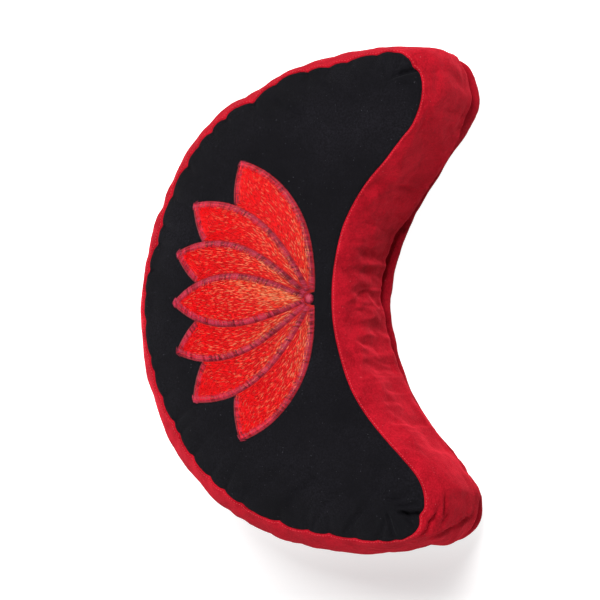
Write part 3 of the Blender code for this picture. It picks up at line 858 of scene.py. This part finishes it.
FACE_ROWS = 46
FACE_EDGE = -0.0002
SOFT_START = 0.012          # the soft lumps grow from nothing over this much of the edge
FACE_CREASES = (
    Crease(((1.355, -3.0), (1.310, 4.0), (1.235, 13.0), (1.19, 18.0)), 5.8, 2.2, 1.1),
    Crease(((-1.455, -3.0), (-1.405, 4.0), (-1.335, 13.0), (-1.29, 19.0)), 6.4, 2.3, 1.2),
    Crease(((-1.56, 0.0), (-1.50, 11.0), (-1.38, 22.0)), 2.5, 2.7, 0.6),
    Crease(((-1.28, 1.0), (-1.32, 8.0), (-1.38, 17.0)), 3.0, 2.3, 0.6),
    Crease(((-1.06, 0.0), (-1.07, 9.0), (-1.12, 24.0)), 3.4, 2.5, 0.7),
    Crease(((-0.97, 0.0), (-0.99, 9.0), (-1.05, 20.0)), 2.5, 2.3, 0.5),
    Crease(((-0.88, 0.0), (-0.90, 11.0), (-0.95, 30.0)), 3.0, 2.7, 0.6),
    Crease(((-0.79, 0.0), (-0.80, 9.0), (-0.82, 22.0)), 2.1, 2.3, 0.5),
    Crease(((1.12, 0.0), (1.15, 9.0), (1.20, 20.0)), 2.3, 2.5, 0.5),
    Crease(((1.00, 0.0), (1.00, 9.0), (1.03, 20.0)), 1.8, 2.3, 0.4),
    Crease(((0.90, 0.0), (0.90, 10.0), (0.94, 26.0)), 2.3, 2.7, 0.5),
    Crease(((1.50, 1.0), (1.44, 10.0), (1.34, 20.0)), 1.6, 3.6, 0.3),
    Crease(((-1.75, 2.0), (-1.62, 16.0), (-1.45, 30.0)), 2.2, 5.0, 0.6),
    Crease(((-2.10, 4.0), (-2.06, 24.0), (-1.98, 48.0)), 1.9, 6.0, 0.6),
    Crease(((-0.70, 14.0), (-0.74, 34.0), (-0.82, 58.0)), 2.6, 5.0, 0.9),
    Crease(((-0.58, 8.0), (-0.62, 26.0), (-0.68, 50.0)), 2.0, 5.0, 0.8),
    Crease(((-0.80, 20.0), (-0.88, 42.0), (-1.00, 60.0)), 2.0, 5.0, 0.8),
    Crease(((-0.92, 24.0), (-1.04, 40.0), (-1.20, 46.0)), 1.7, 4.6, 0.6),
    Crease(((0.66, 8.0), (0.70, 30.0), (0.78, 52.0)), 1.6, 5.0, 0.6),
    Crease(((0.80, 12.0), (0.86, 32.0), (0.95, 50.0)), 1.4, 5.0, 0.6),
    Crease(((0.94, 20.0), (1.02, 34.0), (1.16, 40.0)), 1.1, 4.6, 0.5),
)


def soft_lumps(x, y):
    """Low, broad unevenness of the filling under the face, over points of the plan."""
    return 0.0010 * lumps(x, y, 0.052, 41) + 0.00045 * lumps(x, y, 0.021, 42)


def face_shape(pat, share):
    """Offset and height of the face from its edge, share 0, to its middle line, share 1."""
    inset = share * pat.width
    shift = SOFT * (1 - share) ** 2 + FINE * np.exp(-inset / 0.010)
    offset = FACE_EDGE - share * (pat.width + FACE_EDGE) + shift
    height = FACE_SEAM_Z + crown(share, pat.width)
    height = height - 0.0009 * np.maximum(1 - inset / 0.0030, 0) ** 2
    away = (1 - share) ** 0.5
    convex = 1 - ease((pat.place - 1.2) / 0.5)
    lower_half = 1.0 + 0.5 * ease(-pat.edge[:, 0] / 0.10)
    dips = cusp_dips(pat.turn, 0.8 * lower_half, inset)
    height = height - 0.0021 * dips * ease(inset / 0.004) * away * np.maximum(convex, 0.0)
    height = height + creases(pat.turn, inset, FACE_CREASES) * ease((1 - share) * 5)
    x = pat.edge[:, 0] + pat.out[:, 0] * offset
    y = pat.edge[:, 1] + pat.out[:, 1] * offset
    return offset, height + soft_lumps(x, y) * ease(inset / SOFT_START)


face_share = (np.linspace(1, 0, FACE_ROWS) ** 1.35)[:, None]
face_offset, face_height = face_shape(PAT, face_share)
face_top = ring(PAT, face_offset, face_height)
face_under = face_top[::-5] - np.array((0, 0, FACE_CLOTH))
face = skin("face_panel_cloth", np.concatenate((face_top, face_under)))

FACE_BLACK = cloth_material(
    "face_black_cotton", WEAVE, roughness=0.82, sheen=0.026, sheen_rough=0.35, tint=BLACK_SHEEN, bump=0.45,
    Cloth=(0.0008, 0.0008, 0.0012, 1), Worn=(0.0135, 0.0125, 0.0170, 1), Wear_Scale=12.0)
face.data.materials.append(FACE_BLACK)
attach(face, "root")
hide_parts("face_panel")


# ---- Seam stitches -------------------------------------------------------------------------
# A line of red machine stitches close inside the band's edge, in sewing thread a little paler
# than the cloth. Each stitch is a strand of its own that dips into the cloth at both ends.

STITCH_PITCH = 0.0027
STITCH_LONG = 0.0015
STITCH_THICK = 0.00042
STITCH_DEPTH = 0.0010
STITCH_INSET = 0.0007
STITCH_UNEVEN = 0.08


def strands(name, starts, ends, up, wide, high, colours=None, sides=3, steps=3):
    """Short threads as slim closed prisms from start to end, thicker in the middle."""
    starts, ends, up = (np.asarray(a, float) for a in (starts, ends, up))
    up = np.broadcast_to(up, starts.shape)
    count = len(starts)
    way = ends - starts
    length = np.linalg.norm(way, axis=1)[:, None]
    across = np.cross(way / length, up)
    across /= np.linalg.norm(across, axis=1)[:, None]
    share = np.linspace(0, 1, steps + 1)
    bow = np.sin(np.pi * np.clip(share, 0.02, 0.98)) ** 0.5
    bow = np.clip(bow, 0.35, 1.0)
    angle = 2 * np.pi * np.arange(sides) / sides + (np.pi / 2)
    middle = starts[:, None] + way[:, None] * share[None, :, None]
    lift = (np.sin(np.pi * share) ** 0.7 * high)[None, :, None] * up[:, None]
    centre = (middle + lift)[:, :, None]
    flat = np.cos(angle)[None, None, :, None] * across[:, None, None] * wide / 2
    tall = np.sin(angle)[None, None, :, None] * up[:, None, None] * high / 2
    points = centre + (flat + tall) * bow[None, :, None, None]
    each = (steps + 1) * sides
    base = (np.arange(count) * each)[:, None]
    quads = []
    for step in range(steps):
        for side in range(sides):
            a = step * sides + side
            b = step * sides + (side + 1) % sides
            quads.append((a, b, b + sides, a + sides))
    quads = (base[:, :, None] + np.array(quads)[None]).reshape(-1, 4).tolist()
    first, last = tuple(range(sides))[::-1], tuple(range(each - sides, each))
    caps = (base[:, :, None] + np.array((first, last))[None]).reshape(-1, sides).tolist()
    mesh = bpy.data.meshes.new(name)
    mesh.from_pydata(points.reshape(-1, 3).tolist(), [], quads + caps)
    if colours is not None:
        layer = mesh.color_attributes.new("thread", "BYTE_COLOR", "POINT")
        rgba = np.ones((count, each, 4))
        rgba[:, :, :3] = np.asarray(colours)[:, None]
        layer.data.foreach_set("color", rgba.reshape(-1))
    mesh.shade_smooth()
    return placed(name, mesh)


def at_turn(values, turn):
    """Reading of a value or vector of the pattern at a length round the seam."""
    order = np.argsort(PAT.turn)
    keys = PAT.turn[order]
    keys = np.concatenate((keys[-3:] - ROUND, keys, keys[:3] + ROUND))
    values = values[order]
    values = np.concatenate((values[-3:], values, values[:3]))
    if values.ndim == 1:
        return np.interp(turn, keys, values)
    return np.stack([np.interp(turn, keys, values[:, k]) for k in range(values.shape[1])], 1)


stitch_ring = ring(
    PAT, band_shape(PAT, STITCH_DEPTH) - STITCH_INSET, FACE_SEAM_Z - STITCH_DEPTH + 0.0003)
stitch_count = int(ROUND / STITCH_PITCH)
rng = np.random.RandomState(5)
stitch_slip = rng.uniform(-STITCH_UNEVEN, STITCH_UNEVEN, stitch_count)
stitch_at = -ROUND / 2 + (np.arange(stitch_count) + stitch_slip) * STITCH_PITCH
stitch_from = at_turn(stitch_ring, wrapped(stitch_at))
stitch_to = at_turn(stitch_ring, wrapped(stitch_at + STITCH_LONG))
outward = at_turn(PAT.out, wrapped(stitch_at))
stitch_up = np.stack((outward[:, 0], outward[:, 1], np.full(stitch_count, 0.9)), 1)
stitch_up /= np.linalg.norm(stitch_up, axis=1)[:, None]
seam_stitches = strands(
    "seam_stitches", stitch_from, stitch_to, stitch_up, STITCH_THICK, STITCH_THICK * 0.8, sides=5)


def thread_material(name, colour, roughness, sheen=0.2):
    """Twisted thread in one colour, or with no colour given in its strands' own."""
    material, tree, shader = new_material(
        name, Roughness=roughness, Specular_IOR_Level=0.22, Sheen_Weight=sheen)
    where = add(tree, "TexCoord").outputs["Object"]
    twist = noise(tree, where, 2600.0, 2.0, 0.5)
    if colour is None:
        base = add(tree, "Attribute", attribute_name="thread").outputs["Color"]
    else:
        shaded = tuple(0.7 * part for part in colour)
        base = mixed(tree, twist, shaded, tuple(min(1.2 * part, 1.0) for part in colour))
    tree.links.new(base, shader.inputs["Base Color"])
    relief = add(tree, "Bump", Strength=0.35, Distance=0.0002)
    tree.links.new(twist, relief.inputs["Height"])
    tree.links.new(relief.outputs["Normal"], shader.inputs["Normal"])
    return material


SEAM_THREAD = thread_material("seam_thread_red", (0.66, 0.05, 0.06), 0.5)
seam_stitches.data.materials.append(SEAM_THREAD)
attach(seam_stitches, "root")


# ---- Stitched lotus ------------------------------------------------------------------------
# Seven petals fanned from one point by the bay, filled with long and short stitches in shaded
# red thread over a thin backing, each with a raised satin-stitched edge in dusky rose.
# Pale stitches in the fill are painted highlights; its darker red beside each overlying petal is painted
# shade.

BASE_INSET = 0.014
BASE_Y = SHIFT_Y - CENTRE_STEP + BAY_RADIUS + BASE_INSET
PETAL_START = 0.006
EDGE_WIDE = 0.0064
FILL_PITCH = 0.00060
FILL_LONG = 0.0046
FILL_ROW = 0.0025
FILL_UNEVEN = 0.0014
FILL_THREAD = (0.00062, 0.00040)    # wide and high
SATIN_PITCH = 0.00068
SATIN_THREAD = (0.00074, 0.00060)
SATIN_SLANT = 0.0012
LAYER_RISE = 0.000105
PAD_THICK = 0.0006
UPWARD = (0.0, 0.0, 1.0)
Petal = namedtuple("Petal", "name turn length spread")
PETALS = (
    Petal("middle", 0, 0.136, 27),
    Petal("inner", 19, 0.140, 28),
    Petal("outer", 38, 0.146, 29),
    Petal("low", 62, 0.143, 30),
)


def face_at(x, y):
    """Height of the face panel's top over points of the plan, its soft lumps included."""
    px, py = x, y - SHIFT_Y
    reach = np.hypot(px, py)
    ray = np.hypot(px, py + CENTRE_STEP)
    span = (RADII ** 2 - CENTRE_STEP ** 2) / 2
    spine = span / (RADII + CENTRE_STEP * py / np.maximum(reach, 1e-9))
    bay_spine = span / (RADII - CENTRE_STEP * (py + CENTRE_STEP) / ray)
    outside = reach > spine
    width = np.where(outside, OUTER_RADIUS - spine, bay_spine - BAY_RADIUS)
    inset = np.where(outside, OUTER_RADIUS - reach, ray - BAY_RADIUS)
    height = FACE_SEAM_Z + crown(np.clip(inset / width, 0, 1), width)
    return height + soft_lumps(px, py) * ease(inset / SOFT_START)


def half_spread(petal, radius):
    return math.radians(petal.spread) * (1 - np.minimum(radius / petal.length, 1.0) ** 2)


def edges_of(index, radius):
    """Angles between which a petal shows beside the petals stitched over it."""
    petal = PETALS[index]
    turn = math.radians(petal.turn)
    high = turn + half_spread(petal, radius)
    low = turn - half_spread(petal, radius)
    for upper in PETALS[:index]:
        over = math.radians(upper.turn) + half_spread(upper, radius)
        low = np.where(radius < upper.length, np.maximum(low, over), low)
    return low, high


def place_flat(side, points, lift):
    """Points of the lotus's flat drawing laid on the face."""
    x, y = side * points[..., 0], BASE_Y + points[..., 1]
    return np.stack((x, y, face_at(x, y) + lift), -1)


def on_face(side, radius, angle, lift):
    return place_flat(side, np.stack((radius * np.sin(angle), radius * np.cos(angle)), -1), lift)


def make_pad(index, side):
    """Thin closed backing of one petal, domed a little, under its stitches."""
    petal = PETALS[index]
    share = np.sin(np.linspace(0, math.pi / 2, 30))
    radius = blend(PETAL_START, petal.length * 0.995, share)[:, None]
    low, high = edges_of(index, radius)
    part = np.linspace(0, 1, 13)[None]
    angle = blend(low, high, part)
    dome = PAD_THICK * (0.75 + 0.25 * np.sin(np.pi * part))
    top = on_face(side, radius, angle, dome)
    floor = on_face(side, radius, angle, -0.0004)
    return np.concatenate((top, floor[:, ::-1]), 1)


def fill_stitches(index, side, seed):
    """Long and short stitches that run from the base to the tip, in brick-like rows."""
    petal = PETALS[index]
    rng = np.random.RandomState(seed)
    starts, ends, tints = [], [], []
    row = PETAL_START + 0.004
    while row < petal.length - 0.003:
        low, high = (float(a) for a in edges_of(index, np.array(row)))
        inner = 0.4 * EDGE_WIDE / row
        count = int((high - low - 2 * inner) * row / FILL_PITCH)
        if count > 0:
            share = (np.arange(count) + rng.uniform(0.2, 0.8, count)) / count
            near = row + rng.uniform(-FILL_UNEVEN, FILL_UNEVEN, count)
            long = FILL_LONG * rng.uniform(0.7, 1.2, count)
            far = np.minimum(near + long, petal.length - 0.002)
            for radius, store in ((near, starts), (far, ends)):
                low_r, high_r = edges_of(index, radius)
                trim = 0.4 * EDGE_WIDE / radius
                bare = math.radians(petal.turn) - half_spread(petal, radius)
                trim_low = np.where(low_r > bare + 1e-6, 0.0003 / radius, trim)
                store.append(np.stack((radius, blend(low_r + trim_low, high_r - trim, share)), 1))
            tints.append(np.stack((near / petal.length, share, rng.uniform(0, 1, count)), 1))
        row += FILL_ROW
    return np.concatenate(starts), np.concatenate(ends), np.concatenate(tints)


THREAD_DEPTH = 0.80
RED_TIP = np.array((0.94, 0.001, 0.004))
RED_MIDDLE = np.array((0.98, 0.010, 0.008))
ORANGE_BASE = np.array((1.0, 0.16, 0.050))
# Colour of the pale fill stitches: painted highlight for glints on the glossy thread.
PAINTED_GLINT = np.array((1.0, 0.46, 0.22))
ROSE = np.array((0.50, 0.034, 0.076))
DARK_ROSE = np.array((0.12, 0.003, 0.012))


def fill_colours(tints, warm):
    """Shade of each fill stitch: orange near the base, pure red towards the tip, pale stitches as painted
    highlights, and redder and darker towards the low side, next to the petal stitched over it, as painted
    shade.
    """
    radius, share, chance = tints[:, :1], tints[:, 1:2], tints[:, 2:]
    # The share term makes each petal redder and darker towards its low side, by the edge of the petal
    # stitched over it: painted shade.
    heat = np.clip(warm + 0.92 - 1.30 * radius + 0.5 * (share - 0.5) + 0.45 * (chance - 0.5), 0, 1)
    colour = blend(RED_TIP, RED_MIDDLE, ease(heat * 1.8))
    colour = blend(colour, ORANGE_BASE, ease(heat * 1.6 - 0.6))
    # Pale stitches, more often towards the warm base: painted highlights standing for glints on the
    # thread.
    fleck = (chance > 0.96 - 0.24 * heat) * 0.70
    return THREAD_DEPTH * blend(colour, PAINTED_GLINT, fleck * (0.35 + 0.65 * heat))


def satin_edge(index, side, seed):
    """Close stitches laid across the petal's edge, up one side and down the other."""
    petal = PETALS[index]
    rng = np.random.RandomState(seed)
    starts, ends = [], []
    for edge in (0, 1):
        fine = np.linspace(PETAL_START + 0.002, petal.length, 400)
        sides_of = edges_of(index, fine)
        bare = math.radians(petal.turn) - half_spread(petal, fine)
        shown = np.ones(400, bool) if edge else sides_of[0] <= bare + 1e-6
        angle = sides_of[edge]
        points = np.stack((fine * np.sin(angle), fine * np.cos(angle)), 1)
        points = points[shown]
        if len(points) < 3:
            continue
        run = np.concatenate(((0.0,), np.cumsum(np.linalg.norm(np.diff(points, axis=0), axis=1))))
        at = np.arange(0.0, run[-1], SATIN_PITCH)
        at = at + rng.uniform(-0.0001, 0.0001, len(at))
        behind, line, ahead = (
            np.stack([np.interp(at + step, run, points[:, k]) for k in (0, 1)], 1)
            for step in (-0.001, 0.0, 0.001))
        way = ahead - behind
        way /= np.linalg.norm(way, axis=1)[:, None]
        inward = np.stack((-way[:, 1], way[:, 0]), 1) * (1 if edge else -1)
        slant = way * rng.uniform(-0.0006, 0.0006, len(at))[:, None] + way * SATIN_SLANT
        wide = EDGE_WIDE * (0.70 + 0.30 * ease(np.linalg.norm(line, axis=1) / 0.05))
        wide = (wide * rng.uniform(0.92, 1.04, len(at)))[:, None]
        starts.append(line - inward * 0.0005)
        ends.append(line + inward * wide + slant)
    return np.concatenate(starts), np.concatenate(ends), rng


THREAD = thread_material("lotus_thread_shaded", None, 0.40, 0.0)
PAD_RED = thread_material("lotus_backing_red", (0.36, 0.002, 0.003), 0.7)


def join(name, parts):
    """One object of several, which keeps their materials and colours."""
    with bpy.context.temp_override(active_object=parts[0], selected_editable_objects=parts):
        bpy.ops.object.join()
    parts[0].name = name
    parts[0].data.name = name
    return parts[0]


def make_petal(index, side):
    """One petal: backing, fill and satin edge in one piece, the satin edges of the higher layers lying
    higher.
    """
    petal = PETALS[index]
    suffix = "" if not petal.turn else ("_right" if side > 0 else "_left")
    rise = LAYER_RISE * (len(PETALS) - 1 - index)
    seed = 100 + index * 10 + side
    pad = skin("pad", make_pad(index, side))
    bm = bmesh.new()
    bm.from_mesh(pad.data)
    bmesh.ops.holes_fill(bm, edges=[e for e in bm.edges if e.is_boundary])
    bmesh.ops.recalc_face_normals(bm, faces=bm.faces)
    bm.to_mesh(pad.data)
    bm.free()
    pad.data.materials.append(PAD_RED)
    near, far, tints = fill_stitches(index, side, seed)
    lift = PAD_THICK + 0.0001
    fill = strands(
        "fill", on_face(side, near[:, 0], near[:, 1], lift), on_face(side, far[:, 0], far[:, 1], lift),
        UPWARD, *FILL_THREAD, fill_colours(tints, 0.10 if index < 2 else 0.0))
    fill.data.materials.append(THREAD)
    start, end, rng = satin_edge(index, side, seed + 5)
    clump = np.repeat(rng.uniform(0, 1, len(start) // 3 + 1), 3)[:len(start), None]
    shade = blend(DARK_ROSE, ROSE, ease(0.85 * clump + 0.35 * rng.uniform(0, 1, (len(start), 1))))
    edge_lift = PAD_THICK + 0.0003 + rise
    edge = strands(
        "edge", place_flat(side, start, 0.0001), place_flat(side, end, edge_lift),
        UPWARD, *SATIN_THREAD, shade)
    edge.data.materials.append(THREAD)
    obj = join("lotus_" + petal.name + suffix, [pad, fill, edge])
    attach(obj, "root")
    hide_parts("lotus_petal_" + petal.name + suffix)
    return obj


for number, petal in enumerate(PETALS):
    for side in ((1, -1) if petal.turn else (1,)):
        make_petal(number, side)

# The knot: a small boss of rose stitches where all the petals meet
KNOT = 0.0050
KNOT_CORE = -0.0012         # each stitch runs a little past the middle
KNOT_Y = 0.004
KNOT_STITCHES = 60
KNOT_THREAD = (0.0007, 0.0007)
knot_angle = np.linspace(0, 2 * np.pi, KNOT_STITCHES, endpoint=False)
knot_from = np.stack((KNOT * np.cos(knot_angle), KNOT * np.sin(knot_angle) * 0.8 + KNOT_Y), 1)
knot_to = np.stack((KNOT_CORE * np.cos(knot_angle), KNOT_CORE * np.sin(knot_angle) + KNOT_Y), 1)
rng = np.random.RandomState(77)
knot_colour = blend(DARK_ROSE, ROSE, rng.uniform(0.3, 1.0, (KNOT_STITCHES, 1)))
knot = strands(
    "lotus_knot", place_flat(1, knot_from, 0.0006), place_flat(1, knot_to, 0.0016),
    UPWARD, *KNOT_THREAD, knot_colour)
knot.data.materials.append(THREAD)
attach(knot, "root")


# ---- Floor, light and camera ---------------------------------------------------------------
# A pale floor with a painted glow that only the camera sees, weaker towards -X so that shadow shows only
# there, four soft lamps and a dim white world.
# The camera stands at the angle to the face from which the cushion was photographed.

CAMERA_PLACE = (-0.2730, -1.1881, 2.8692)
CAMERA_TURN = (5.236, 23.168, -89.985)
camera_data = bpy.data.cameras.new("camera")
camera_data.lens = 200.8
camera_data.sensor_width = 36.0
camera = placed("camera", camera_data)
camera.location = CAMERA_PLACE
camera.rotation_euler = [math.radians(angle) for angle in CAMERA_TURN]
bpy.context.scene.camera = camera

floor_mesh = bpy.data.meshes.new("floor")
floor_mesh.from_pydata([(-6, -6, 0), (6, -6, 0), (6, 6, 0), (-6, 6, 0)], [], [(0, 1, 2, 3)])
floor = placed("floor", floor_mesh)
floor_paint, floor_tree, floor_shader = new_material(
    "pale_floor_painted_glow", Base_Color=(0.50, 0.50, 0.50), Roughness=0.9, Emission_Color=(1.0, 1.0, 1.0))
light_path = add(floor_tree, "LightPath")
floor_place = add(floor_tree, "SeparateXYZ")
feed(floor_tree, floor_place.inputs[0], add(floor_tree, "TexCoord").outputs["Object"])
# Painted light: for camera rays only, the floor glows at 0.98 over most of it and at 0.42 towards -X, so
# the lamps' shadow shows only there.
painted_glow_strength = ranged(floor_tree, floor_place.outputs["X"], -0.26, -0.14, 0.42, 0.98)
glow = math_of(floor_tree, "MULTIPLY", light_path.outputs["Is Camera Ray"], painted_glow_strength)
feed(floor_tree, floor_shader.inputs["Emission Strength"], glow)
floor_mesh.materials.append(floor_paint)


def soft_light(name, place, power, size):
    lamp = bpy.data.lights.new(name, "AREA")
    lamp.energy = power
    lamp.size = size
    obj = placed(name, lamp)
    obj.location = place
    aim = Vector((0.0, 0.0, 0.08)) - Vector(place)
    obj.rotation_euler = aim.to_track_quat("-Z", "Y").to_euler()


soft_light("main", (1.0, -0.4, 2.6), 106, 1.2)
soft_light("key", (2.2, -1.0, 1.3), 18, 0.7)
soft_light("low_left", (-2.2, 0.3, 0.9), 34, 1.0)
soft_light("high_left", (1.3, 2.2, 1.0), 8, 1.0)
world = bpy.data.worlds.new("studio")
world.use_nodes = True
backdrop = world.node_tree.nodes["Background"]
backdrop.inputs["Color"].default_value = (1, 1, 1, 1)
backdrop.inputs["Strength"].default_value = 0.09
bpy.context.scene.world = world
bpy.context.scene.view_settings.view_transform = "Standard"
